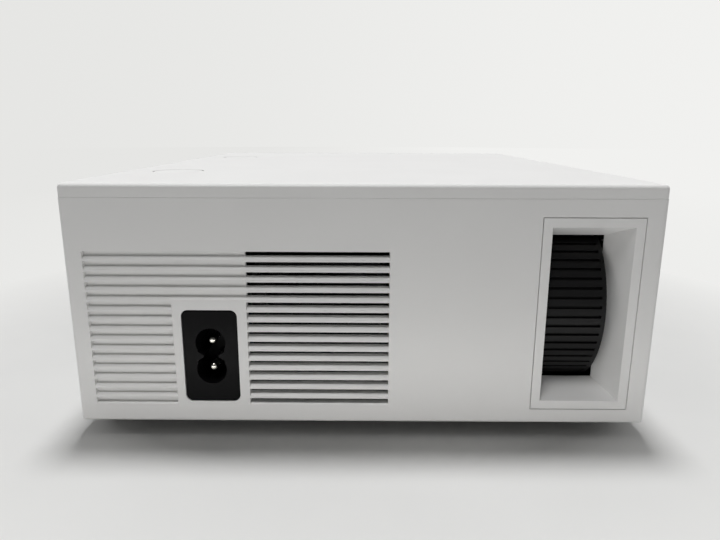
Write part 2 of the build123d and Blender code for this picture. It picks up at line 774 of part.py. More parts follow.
# ---- Light engine, from the LED to the projection lens ----
half_engine = engine_size / 2
engine_y = (lens_y - half_engine, lens_y + half_engine)
engine_z = (lens_z - half_engine, lens_z + half_engine)
with BuildPart() as engine_housing:
    block((engine_rear, engine_front), engine_y, engine_z)
    fillet(engine_housing.edges().filter_by(Axis.X), radius=2.0)
    hollow = half_engine - engine_wall
    block((engine_rear + engine_wall, engine_front - engine_wall), (lens_y - hollow, lens_y + hollow),
          (lens_z - hollow, lens_z + hollow), Mode.SUBTRACT)
    opening = light_opening / 2
    block((engine_rear - 1, engine_rear + engine_wall + 1), (lens_y - opening, lens_y + opening),
          (lens_z - opening, lens_z + opening), Mode.SUBTRACT)
    rod((engine_front - engine_wall - 1, lens_y, lens_z), (1, 0, 0), barrel_radius + 0.8,
        engine_wall + 2, Mode.SUBTRACT)
save(engine_housing.part, "engine_housing")


def engine_plate(x, thickness):
    """A square optical plate held between the walls of the light engine."""
    side = engine_size / 2 - engine_wall - running_gap
    block((x, x + thickness), (lens_y - side, lens_y + side), (lens_z - side, lens_z + side))


with BuildPart() as condenser_lens:
    revolve(glass(engine_rear + 6.5, 5.0, 0.6, 3.0, hollow - running_gap), axis=lens_axis)
save(condenser_lens.part, "condenser_lens")

with BuildPart() as heat_glass:
    engine_plate(engine_rear + 15.5, 1.5)
save(heat_glass.part, "heat_glass")

with BuildPart() as rear_fresnel:
    engine_plate(engine_rear + 18.5, 1.5)
save(rear_fresnel.part, "rear_fresnel")

with BuildPart() as lcd_panel:
    engine_plate(engine_rear + 22.0, 2.2)
save(lcd_panel.part, "lcd_panel")

with BuildPart() as front_fresnel:
    engine_plate(engine_rear + 26.5, 1.5)
save(front_fresnel.part, "front_fresnel")

with BuildPart() as heatsink:
    sink_y = (fan_inner_y + clear_gap, engine_y[1])
    sink_x = (vent_x - fan_size / 2 + heatsink_setback, engine_rear)
    sink_z = (lens_z - fan_size / 2, lens_z + fan_size / 2)
    block((sink_x[1] - heatsink_base, sink_x[1]), sink_y, sink_z)
    pitch = (fan_size - fin_thickness) / (fin_count - 1)
    for fin in range(fin_count):
        low = sink_z[0] + fin * pitch
        block((sink_x[0], sink_x[1] - heatsink_base), sink_y, (low, low + fin_thickness))
save(heatsink.part, "heatsink")

with BuildPart() as led_module:
    led = light_opening / 2 - 1
    block((engine_rear, engine_rear + 1.6), (lens_y - led, lens_y + led), (lens_z - led, lens_z + led))
    block((engine_rear + 1.6, engine_rear + 2.4), (lens_y - 8, lens_y + 8), (lens_z - 8, lens_z + 8))
save(led_module.part, "led_module")

# ---- Fan behind the open louvres ----
with BuildPart(fan_plane) as fan_frame:
    half = fan_size / 2
    block((-half, half), (-half, half), (0, fan_depth))
    fillet(fan_frame.edges().filter_by(Axis.Y), radius=3.0)
    rod((0, 0, -1), (0, 0, 1), fan_bore, fan_depth + 2, Mode.SUBTRACT)
    rod((0, 0, fan_depth - 1.8), (0, 0, 1), fan_hub, 1.8)
    with BuildSketch(fan_plane.offset(fan_depth - 1.8)):
        with PolarLocations(fan_bore / 2 + 2, 4, start_angle=45):
            Rectangle(fan_bore, 2.4)
    extrude(amount=1.8)
    with GridLocations(fan_size - 8, fan_size - 8, 2, 2):
        Hole(1.7)
    rod((0, 0, 0), (0, 0, 1), 1.0 + running_gap, fan_depth - 0.6, Mode.SUBTRACT)
save(fan_frame.part, "fan_frame")

with BuildPart(fan_plane) as fan_rotor:
    rod((0, 0, 1.2), (0, 0, 1), fan_hub, fan_depth - 3.4)
    fillet(fan_rotor.edges().filter_by(GeomType.CIRCLE).sort_by(Axis.Y)[0], radius=1.0)
    blade_length = fan_bore - 0.7 - fan_hub
    with PolarLocations(fan_hub + blade_length / 2 - 0.4, fan_blades):
        with Locations((0, 0, fan_depth / 2 - 0.5)):
            Box(blade_length + 0.8, 1.1, fan_depth - 5.5, rotation=(38, 0, 0))
    rod((0, 0, 5), (0, 0, 1), 1.0, fan_depth - 6.0)
save(fan_rotor.part, "fan_rotor")

# ---- Power board behind the inlet ----
with BuildPart() as power_board:
    block(power_board_x, power_board_y, (board_bottom, board_top))
    for x, y in power_posts:
        rod((x, y, board_bottom - 1), (0, 0, 1), screw_radius + 0.1, 4.0, Mode.SUBTRACT)
save(power_board.part, "power_board")

power_middle = (sum(power_board_x) / 2, sum(power_board_y) / 2)
with BuildPart() as transformer:
    x, y = power_middle
    block((x - 9, x + 9), (y - 8, y + 8), (board_top, board_top + 4))
    block((x - 7, x + 7), (y - 10, y + 10), (board_top + 4, board_top + 14))
    block((x - 9, x + 9), (y - 8, y + 8), (board_top + 14, board_top + 18))
save(transformer.part, "transformer")

with BuildPart() as capacitors:
    x, y = power_middle
    for shift, side, radius, height in ((-15, 5, 5.0, 20.0), (15, -7, 4.0, 14.0), (15, 5, 4.0, 14.0)):
        rod((x + shift, y + side, board_top), (0, 0, 1), radius, height)
    fillet(capacitors.edges().filter_by(GeomType.CIRCLE).group_by(Axis.Z)[-1], radius=0.6)
save(capacitors.part, "capacitors")

# ---- Main board ----
processor = (main_board_x[0] + 42.0, main_board_y[0] + 60.0)
processor_size = 16.0
processor_height = 1.4
with BuildPart() as main_board:
    block(main_board_x, main_board_y, (board_bottom, board_top))
    for x, y in board_posts:
        rod((x, y, board_bottom - 1), (0, 0, 1), screw_radius + 0.1, 4.0, Mode.SUBTRACT)
    # Chips and connector bodies.
    for x, y, length, width, height in (
        (0, 0, processor_size, processor_size, processor_height), (4, 30, 12, 9, 1.2),
        (30, -20, 14, 8, 1.4), (45, 20, 10, 10, 1.2), (50, -42, 9, 16, 5.0), (-10, -40, 9, 14, 5.0),
    ):
        middle = (processor[0] + x, processor[1] + y)
        block((middle[0] - length / 2, middle[0] + length / 2),
              (middle[1] - width / 2, middle[1] + width / 2), (board_top, board_top + height))
save(main_board.part, "main_board")

with BuildPart() as processor_heatsink:
    low = board_top + processor_height
    half = cooler_size / 2
    cooler_x = (processor[0] - half, processor[0] + half)
    block(cooler_x, (processor[1] - half, processor[1] + half), (low, low + cooler_base))
    pitch = (cooler_size - cooler_fin) / (cooler_fins - 1)
    for fin in range(cooler_fins):
        start = processor[1] - half + fin * pitch
        block(cooler_x, (start, start + cooler_fin), (low + cooler_base, low + cooler_height))
save(processor_heatsink.part, "processor_heatsink")

# ---- Speaker ----
with BuildPart() as speaker:
    back = Plane(origin=(-inner_x, speaker_y, speaker_z), x_dir=(0, 1, 0), z_dir=(1, 0, 0))
    with BuildSketch(back):
        SlotOverall(speaker_width, speaker_height)
    extrude(amount=speaker_basket)
    with BuildSketch(back):
        SlotOverall(speaker_width - 2 * speaker_rim, speaker_height - 2 * speaker_rim)
    extrude(amount=speaker_dish, mode=Mode.SUBTRACT)
    behind = speaker_depth - speaker_basket
    rod((-inner_x + speaker_basket, speaker_y, speaker_z), (1, 0, 0), magnet_radius, behind)
    cap = speaker_dish - dust_cap_top + 0.4
    rod((-inner_x + dust_cap_top, speaker_y, speaker_z), (1, 0, 0), dust_cap_radius, cap)
save(speaker.part, "speaker")

# ---- Keys in the lid ----
with BuildPart() as key_boards:
    for y in key_ys:
        half = key_post_offset + 3.0
        block((key_x - 6, key_x + 6), (y - half, y + half), (key_board_top - 1.2, key_board_top))
        block((key_x - 3, key_x + 3), (y - 3, y + 3), (key_board_top, key_board_top + 2.4))
        rod((key_x, y, key_board_top + 2.4), (0, 0, 1), 1.6, 0.8)
save(key_boards.part, "key_boards")


def round_key(y):
    """A round key with a hidden flange under the lid and a stem above its switch."""
    switch_top = key_board_top + 3.2 + key_travel + 0.1
    flange_top = lid_underside - fit_gap
    rod((key_x, y, flange_top), (0, 0, 1), key_radius, top_z - flange_top)
    rod((key_x, y, flange_top - key_flange), (0, 0, 1), key_radius + 1.2, key_flange)
    rod((key_x, y, switch_top), (0, 0, 1), 2.2, flange_top - switch_top)


with BuildPart() as power_key:
    round_key(key_ys[0])
    fillet(power_key.faces().sort_by(Axis.Z)[-1].edges(), radius=0.4)
save(power_key.part, "power_key")

with BuildPart() as eject_key:
    round_key(key_ys[1])
    fillet(eject_key.faces().sort_by(Axis.Z)[-1].edges(), radius=0.4)
save(eject_key.part, "eject_key")

# ---- Feet, insert and screws ----
with BuildPart() as rubber_feet:
    for x, y in feet:
        rod((x, y, 0), (0, 0, 1), foot_radius, foot_height)
        rod((x, y, foot_height), (0, 0, 1), foot_spigot_radius, foot_spigot)
    fillet(rubber_feet.edges().filter_by(GeomType.CIRCLE).group_by(Axis.Z)[0], radius=0.8)
save(rubber_feet.part, "rubber_feet")

with BuildPart() as adjustable_foot:
    rod((*foot_stud, pad_lift), (0, 0, 1), pad_radius, pad_height)
    fillet(adjustable_foot.edges().filter_by(GeomType.CIRCLE), radius=0.5)
    rod((*foot_stud, pad_lift + pad_height), (0, 0, 1), stud_radius, stud_length - 1.0)
save(adjustable_foot.part, "adjustable_foot")

with BuildPart() as tripod_insert:
    tube((0, 0, body_bottom), (0, 0, 1), insert_radius, insert_bore, insert_length)
save(tripod_insert.part, "tripod_insert")

with BuildPart() as case_screws:
    for x, y in lid_screws:
        head_top = body_bottom + boss_height
        rod((x, y, head_top - screw_head), (0, 0, 1), screw_head_radius, screw_head)
        rod((x, y, head_top), (0, 0, 1), screw_radius, 12.0)
        rod((x, y, head_top - screw_head), (0, 0, 1), 1.2, 1.0, Mode.SUBTRACT)
save(case_screws.part, "case_screws")


def screws(places, seat, length):
    """Pan-head screws with their heads on a seat and their shanks below it."""
    for x, y in places:
        rod((x, y, seat), (0, 0, 1), screw_head_radius, screw_head)
        rod((x, y, seat - length), (0, 0, 1), screw_radius, length)
        rod((x, y, seat + screw_head - 1.0), (0, 0, 1), 1.2, 1.0, Mode.SUBTRACT)


with BuildPart() as board_screws:
    screws(board_posts + power_posts, board_top, board_thickness + board_height - 0.5)
save(board_screws.part, "board_screws")

with BuildPart() as loader_screws:
    screws(loader_posts, plate_top, chassis_plate + 8.0)
save(loader_screws.part, "loader_screws")

# ---- Disc loader: chassis ----
rear_floor = pivot_x + 10.0
floor_opening = traverse_half_width + 6.0
ear_inner = traverse_half_width + 0.6
with BuildPart() as loader_chassis:
    left = loader_y - chassis_half
    right = loader_y + chassis_half
    block((chassis_rear, chassis_front), (left, right), (plate_bottom, wall_top))
    block((chassis_rear + chassis_wall, chassis_front + 1), (loader_y - channel, loader_y + channel),
          (plate_top, wall_top + 1), Mode.SUBTRACT)
    block((rear_floor, cam_x + cam_plate + clear_gap), (loader_y - floor_opening, loader_y + floor_opening),
          (plate_bottom - 1, plate_top + 1), Mode.SUBTRACT)
    for side in (-1, 1):
        # Ledge under the tray's edge and lips over it.
        ledge = sorted((loader_y + side * (channel - 5.5), loader_y + side * channel))
        block((chassis_rear + 1, chassis_front), ledge,
              (tray_bottom - clear_gap - 1.8, tray_bottom - clear_gap))
        lip = sorted((loader_y + side * (channel - 2.5), loader_y + side * channel))
        for lip_x in (chassis_front - 14.0, disc_x - 30.0):
            block((lip_x, lip_x + 12.0), lip, (tray_top + clear_gap, wall_top))
        # Ears that carry the traverse's pivots.
        ear = sorted((loader_y + side * ear_inner, loader_y + side * (ear_inner + 3.0)))
        block((pivot_x - 3.5, pivot_x + 3.5), ear, (plate_bottom, pivot_z + 3.5))
        rod((pivot_x, loader_y - floor_opening - 8, pivot_z), (0, 1, 0), shaft_radius + running_gap,
            2 * floor_opening + 16, Mode.SUBTRACT)
        # Guides for the cam slider's ends.
        guide = sorted((loader_y + side * floor_opening, loader_y + side * (floor_opening - 8.0)))
        block((cam_x + cam_plate + clear_gap, cam_x + cam_plate + clear_gap + 2.0), guide,
              (plate_bottom, plate_top + 8.0))
    for x, y in loader_posts:
        edge = loader_y + (chassis_half if y > loader_y else -chassis_half)
        block((x - post_radius, x + post_radius), sorted((edge, y)), (plate_bottom, plate_top))
        rod((x, y, plate_bottom), (0, 0, 1), post_radius, chassis_plate)
        rod((x, y, plate_bottom - 1), (0, 0, 1), screw_radius + 0.1, chassis_plate + 2, Mode.SUBTRACT)
    # Post for the drive gear, and the hole for the loading motor's shaft.
    rod((drive_x, drive_y, plate_top), (0, 0, 1), 3.0, pulley_bottom - plate_top - 0.2)
    rod((drive_x, drive_y, plate_top), (0, 0, 1), shaft_radius, gear_top - plate_top)
    rod((drive_x, motor_y, plate_bottom - 1), (0, 0, 1), 3.0, chassis_plate + 2, Mode.SUBTRACT)
save(loader_chassis.part, "loader_chassis")

with BuildPart() as clamp_bridge:
    block((disc_x - bridge_width / 2, disc_x + bridge_width / 2),
          (loader_y - chassis_half, loader_y + chassis_half), (bridge_bottom, bridge_top))
    fillet(clamp_bridge.edges().filter_by(Axis.Z), radius=4.0)
    for side in (-1, 1):
        rib = sorted((disc_x + side * bridge_width / 2, disc_x + side * (bridge_width / 2 - 1.6)))
        block(rib, (loader_y - chassis_half + 6, loader_y + chassis_half - 6), (bridge_top, bridge_top + 2.5))
    rod((disc_x, loader_y, bridge_bottom - 1), (0, 0, 1), clamper_radius + 0.6, 8.0, Mode.SUBTRACT)
save(clamp_bridge.part, "clamp_bridge")

with BuildPart() as clamper:
    clamper_low = tray_top + 0.6
    rod((disc_x, loader_y, clamper_low), (0, 0, 1), clamper_radius, bridge_top + 0.2 - clamper_low)
    rod((disc_x, loader_y, bridge_top + 0.2), (0, 0, 1), clamper_flange, 1.8)
    rod((disc_x, loader_y, clamper_low - 1), (0, 0, 1), hub_radius + 0.9, 3.2, Mode.SUBTRACT)
    fillet(clamper.edges().filter_by(GeomType.CIRCLE).group_by(Axis.Z)[-1], radius=0.5)
save(clamper.part, "clamper")

# ---- Disc tray ----
rack_top = tray_bottom
rack_back = rack_thickness - 0.25 * rack_module
with BuildPart() as disc_tray:
    block((tray_rear, tray_front), (loader_y - tray_half_width, loader_y + tray_half_width),
          (tray_bottom, tray_top))
    fillet(disc_tray.edges().filter_by(Axis.Z).group_by(Axis.X)[0], radius=6.0)
    rod((disc_x, loader_y, disc_z), (0, 0, 1), disc_radius, tray_rim + 1, Mode.SUBTRACT)
    rod((disc_x, loader_y, disc_z - 0.8), (0, 0, 1), small_disc_radius, tray_rim + 2, Mode.SUBTRACT)
    # The opening that the turntable and the pickup work through.
    with BuildSketch(Plane.XY.offset(tray_bottom - 1)):
        with Locations((disc_x, loader_y)):
            Circle(tray_opening)
        with Locations(((disc_x + rear_floor - 4) / 2, loader_y)):
            Rectangle(disc_x - rear_floor + 4, 2 * tray_opening)
    extrude(amount=tray_floor + tray_rim + 2, mode=Mode.SUBTRACT)
    # Finger scoops at the rim.
    for side in (-1, 1):
        with BuildSketch(Plane.XY.offset(disc_z)):
            with Locations((disc_x, loader_y + side * (disc_radius - 4))):
                SlotOverall(44, 15)
        extrude(amount=tray_rim + 1, mode=Mode.SUBTRACT)
    extrude(
        rack_section(Plane.XY.offset(gear_bottom), rack_module, rack_line,
                     drive_x - tray_travel - rack_spare, drive_x + 3.0, drive_x, 1, rack_back),
        amount=rack_top - gear_bottom,
    )
save(disc_tray.part, "disc_tray")

with BuildPart() as tray_bezel:
    block((tray_front, half_length), (loader_y - bezel_width / 2, loader_y + bezel_width / 2), bezel_z)
    fillet(tray_bezel.faces().sort_by(Axis.X)[-1].edges(), radius=0.5)
save(tray_bezel.part, "tray_bezel")

# ---- Tray drive ----
with BuildPart() as drive_gear:
    extrude(gear_section(Plane(origin=(drive_x, drive_y, gear_bottom)), drive_teeth, rack_module, -90),
            amount=gear_height)
    rod((drive_x, drive_y, pulley_bottom), (0, 0, 1), 4.0, gear_bottom - pulley_bottom)
    rod((drive_x, drive_y, pulley_bottom), (0, 0, 1), pulley_radius + 1.2, pulley_height)
    rod((drive_x, drive_y, pulley_bottom - 1), (0, 0, 1), shaft_radius + running_gap,
        gear_top - pulley_bottom + 2, Mode.SUBTRACT)
    with BuildSketch(Plane.XY.offset(belt_z - belt_size / 2 - 0.1)):
        with Locations((drive_x, drive_y)):
            Circle(pulley_radius + 2)
            Circle(pulley_radius - 0.3, mode=Mode.SUBTRACT)
    extrude(amount=belt_size + 0.2, mode=Mode.SUBTRACT)
save(drive_gear.part, "drive_gear")

with BuildPart() as motor_pulley:
    rod((drive_x, motor_y, pulley_bottom), (0, 0, 1), motor_pulley_radius + 1.2, pulley_height)
    with BuildSketch(Plane.XY.offset(belt_z - belt_size / 2 - 0.1)):
        with Locations((drive_x, motor_y)):
            Circle(motor_pulley_radius + 2)
            Circle(motor_pulley_radius - 0.3, mode=Mode.SUBTRACT)
    extrude(amount=belt_size + 0.2, mode=Mode.SUBTRACT)
    rod((drive_x, motor_y, pulley_bottom - 1), (0, 0, 1), 1.0 + running_gap, pulley_height + 2,
        Mode.SUBTRACT)
save(motor_pulley.part, "motor_pulley")

with BuildPart() as belt:
    with BuildSketch(Plane.XY.offset(belt_z - belt_size / 2)):
        with Locations((drive_x, drive_y)):
            Circle(pulley_radius + belt_size)
        with Locations((drive_x, motor_y)):
            Circle(motor_pulley_radius + belt_size)
        make_hull()
        with BuildSketch(mode=Mode.SUBTRACT):
            with Locations((drive_x, drive_y)):
                Circle(pulley_radius)
            with Locations((drive_x, motor_y)):
                Circle(motor_pulley_radius)
            make_hull()
    extrude(amount=belt_size)
save(belt.part, "belt")

with BuildPart() as loading_motor:
    rod((drive_x, motor_y, plate_bottom - motor_length), (0, 0, 1), motor_radius, motor_length)
    fillet(loading_motor.edges().filter_by(GeomType.CIRCLE).group_by(Axis.Z)[0], radius=1.0)
    rod((drive_x, motor_y, plate_bottom), (0, 0, 1), 2.6, 0.8)
    rod((drive_x, motor_y, plate_bottom), (0, 0, 1), 1.0, pulley_top + 0.5 - plate_bottom)
save(loading_motor.part, "loading_motor")

# ---- Traverse: the tilting frame that carries the turntable and the pickup ----
deck_opening = (3.0, spindle_reach - 14.0)
with BuildPart(deck) as traverse_frame:
    block((-3, traverse_length), (-traverse_half_width, traverse_half_width), (deck_bottom, deck_top))
    block(deck_opening, (-sled_half_width - 3, sled_half_width + 3), (-5, 5), Mode.SUBTRACT)
    for side in (-1, 1):
        start = (0, side * traverse_half_width - side, 0)
        rod(start, (0, side, 0), shaft_radius, 5.0)
        rod((traverse_length - 1, side * cam_pin_offset, 0), (1, 0, 0), cam_pin_radius, 6.0)
        # Blocks that hold the ends of the guide rods.
        for end in (deck_opening[0] - 3.0, deck_opening[1]):
            middle = side * guide_rod_offset
            block((end, end + 3.0), (middle - 3, middle + 3), (-2.5, 2.5))
        rod((deck_opening[0] - 3.5, side * guide_rod_offset, 0), (1, 0, 0),
            guide_rod_radius + running_gap, deck_opening[1] + 3.5 - deck_opening[0] + 3.0, Mode.SUBTRACT)
    rod((feed_x, feed_y, -3), (0, 0, 1), 2.4, 6, Mode.SUBTRACT)
save(traverse_frame.part, "traverse_frame")

with BuildPart(deck) as guide_rods:
    for side in (-1, 1):
        rod((deck_opening[0] - 3.0, side * guide_rod_offset, 0), (1, 0, 0), guide_rod_radius,
            deck_opening[1] - deck_opening[0] + 6.0)
save(guide_rods.part, "guide_rods")

with BuildPart(deck) as spindle_motor:
    rod((spindle_reach, 0, deck_top), (0, 0, 1), spindle_motor_radius, spindle_motor_height)
    rod((spindle_reach, 0, deck_top), (0, 0, 1), 1.0, turntable_top - deck_top)
save(spindle_motor.part, "spindle_motor")

with BuildPart(deck) as turntable:
    boss_low = deck_top + spindle_motor_height + clear_gap
    rod((spindle_reach, 0, boss_low), (0, 0, 1), 5.0, turntable_top - boss_low)
    rod((spindle_reach, 0, turntable_top - turntable_thickness), (0, 0, 1), turntable_radius,
        turntable_thickness)
    rod((spindle_reach, 0, turntable_top), (0, 0, 1), hub_radius, hub_height)
    chamfer(turntable.edges().filter_by(GeomType.CIRCLE).sort_by(deck.location.z_axis)[-1], length=1.2)
    rod((spindle_reach, 0, boss_low - 1), (0, 0, 1), 1.0 + running_gap,
        turntable_top - boss_low + 1.3, Mode.SUBTRACT)
save(turntable.part, "turntable")

with BuildPart(deck) as pickup_sled:
    front = sled_x + sled_length / 2
    rear = sled_x - sled_length / 2
    block((rear, front), (-sled_half_width, sled_half_width), (-2.8, 5.0))
    block((rear - 1, front + 1), (-sled_half_width - 1, -guide_rod_offset + 3.5), (3, 6), Mode.SUBTRACT)
    block((rear - 1, front + 1), (guide_rod_offset - 3.5, sled_half_width + 1), (3, 6), Mode.SUBTRACT)
    rod((sled_x, 0, 3.0), (0, 0, 1), 6.0, 3.0, Mode.SUBTRACT)
    for side in (-1, 1):
        rod((rear - 1, side * guide_rod_offset, 0), (1, 0, 0), guide_rod_radius + running_gap,
            sled_length + 2, Mode.SUBTRACT)
    # Rack for the feed pinion, reaching forward beside the spindle motor.
    extrude(
        rack_section(deck.offset(rack_low), feed_module, feed_rack_line, rear,
                     feed_x + sled_travel + 3.0, feed_x, -1, 1.6),
        amount=feed_rack_height,
    )
    rack_root = feed_rack_line + 1.15 * feed_module + 1.6
    block((rear, front), sorted((rack_root - 1.2, -sled_half_width + 1)), (rack_low, rack_high - 0.5))
save(pickup_sled.part, "pickup_sled")

with BuildPart(deck) as objective_lens:
    rod((sled_x, 0, 3.0), (0, 0, 1), 5.5, 2.0)
    rod((sled_x, 0, 5.0), (0, 0, 1), 3.0, 2.0)
    fillet(objective_lens.edges().filter_by(GeomType.CIRCLE).sort_by(deck.location.z_axis)[-1], radius=0.8)
save(objective_lens.part, "objective_lens")

with BuildPart(deck) as feed_pinion:
    extrude(gear_section(Plane(origin=deck.from_local_coords((feed_x, feed_y, rack_low)),
                               x_dir=deck.x_dir, z_dir=deck.z_dir), feed_teeth, feed_module, 90),
            amount=feed_rack_height)
    rod((feed_x, feed_y, rack_low - 1), (0, 0, 1), 1.0 + running_gap, 8, Mode.SUBTRACT)
save(feed_pinion.part, "feed_pinion")

with BuildPart(deck) as feed_motor:
    rod((feed_x, feed_y, deck_bottom - 8), (0, 0, 1), 7.5, 8)
    rod((feed_x, feed_y, deck_bottom), (0, 0, 1), 2.2, traverse_thickness)
    rod((feed_x, feed_y, deck_bottom), (0, 0, 1), 1.0, rack_high + 0.5 - deck_bottom)
save(feed_motor.part, "feed_motor")

# ---- Cam slider: its sloping slots lift the front of the traverse ----
with BuildPart() as cam_slider:
    slider_half = cam_pin_offset + cam_travel + 11.0
    block((cam_x, cam_x + cam_plate), (loader_y - slider_half + cam_travel, loader_y + slider_half),
          (cam_low_z - 5.0, cam_low_z + cam_lift + 3.6))
    for side in (-1, 1):
        low_end = (loader_y + side * cam_pin_offset, cam_low_z)
        high_end = (low_end[0] + cam_travel, cam_low_z + cam_lift)
        with BuildSketch(Plane.YZ.offset(cam_x - 1)):
            with Locations(((low_end[0] + high_end[0]) / 2, (low_end[1] + high_end[1]) / 2)):
                SlotCenterToCenter(
                    math.dist(low_end, high_end), 2 * (cam_pin_radius + clear_gap),
                    rotation=math.degrees(math.atan2(cam_lift, cam_travel)),
                )
        extrude(amount=cam_plate + 2, mode=Mode.SUBTRACT)
save(cam_slider.part, "cam_slider")
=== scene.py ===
import json
import math
import bpy
from mathutils import Matrix, Vector

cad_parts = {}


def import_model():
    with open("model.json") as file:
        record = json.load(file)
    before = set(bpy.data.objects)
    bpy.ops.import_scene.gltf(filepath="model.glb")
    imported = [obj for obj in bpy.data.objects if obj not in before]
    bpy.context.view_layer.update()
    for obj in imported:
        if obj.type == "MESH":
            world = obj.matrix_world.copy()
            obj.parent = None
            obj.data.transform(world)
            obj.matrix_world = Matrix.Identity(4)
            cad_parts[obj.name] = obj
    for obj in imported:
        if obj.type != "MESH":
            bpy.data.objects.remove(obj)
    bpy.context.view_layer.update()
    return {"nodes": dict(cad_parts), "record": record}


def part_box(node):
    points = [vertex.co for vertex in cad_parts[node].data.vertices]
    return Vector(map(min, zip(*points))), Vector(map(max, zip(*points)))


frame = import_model()
nodes = frame["nodes"]
MM = 0.001

# ---- Camera: place, angles and lens, fitted to the edges of the case in the photograph ----
CAMERA_PLACE = Vector((0.6, -276.9, 92.1)) * MM
CAMERA_PITCH = 13.40     # degrees below the horizon
CAMERA_YAW = 0.41        # degrees to the left
CAMERA_ROLL = 0.14
CAMERA_LENS = 29.5       # mm, on a sensor 36 mm wide

# ---- Stage and light ----
FLOOR_RADIUS = 3.0
FLOOR_COLOR = (0.810, 0.810, 0.802)
# painted light: the backdrop's glow goes from darker on the left to lighter on the right
BACKGROUND_LEFT = (0.790, 0.790, 0.775)
BACKGROUND_RIGHT = (0.880, 0.880, 0.865)
FADE_START = 0.13        # metres from the object's middle, where the floor begins to turn into backdrop
FADE_END = 0.23
FLOOR_TONE_REACH = 0.5   # metres to each side, over which the backdrop's painted light goes from darker on the left to lighter on the right
SKY_TONE_REACH = 0.6     # the same in the world, as a part of the way's X
SIDE_TURN = 0.30         # the way's Y where the camera's side ends and the room's begins
CEILING_FROM = 0.55      # the way's Z where the room's light begins to end
CEILING_TO = 0.80
ROOM_LEVEL = 0.42        # light from the sides and the back
CEILING_LEVEL = 0.04     # light from round the key lamp
CAMERA_LEVEL = 0.08      # light from the camera's side
LAMP_DISTANCE = 2.0
KEY_LEVEL = 0.74
KEY_TILT = (0.0, 9.5)    # degrees from straight above, towards +X and towards +Y
KEY_RADIUS = 0.22
FRONT_LEVEL = 0.25
FRONT_TILT = (-10.0, -22.0)
FRONT_RADIUS = 0.35
LAMP_AIM = Vector((0.0, 0.0, 0.04))
FILL_POWER = 0.0185
FILL_PLACE = Vector((0.0, -0.165, 0.004))
FILL_AIM = Vector((0.0, -0.110, 0.012))
FILL_SIZE = (0.30, 0.008)
NEUTRAL_LIGHT = (1.0, 1.0, 1.0)
WARM_LIGHT = (1.0, 0.985, 0.955)


# ---- Materials ----
WHITE = (0.860, 0.857, 0.850)
WHITE_ROUGHNESS = 0.37
WHITE_GRAIN = 0.35       # mm across
WHITE_GRAIN_DEPTH = 0.004
WHITE_EDGE = 0.22        # mm, radius of its sharp edges
WAVE_SIZE = 9.0          # mm, long waves left by the mould
WAVE_DEPTH = 0.005
# painted shade: the dark colour of the faces inside the case, where only shade is seen through the louvres
PAINTED_SHADE_INSIDE = (0.020, 0.020, 0.021)
SHELL = 3.0 * MM         # the case's wall and floor
LID_PLATE = 2.5 * MM
PAINTED_SHADE_SPARE = 0.15 * MM   # how far the painted shade reaches past the inner faces
SHELL_NODES = ("lower_case", "top_cover", "front_panel")


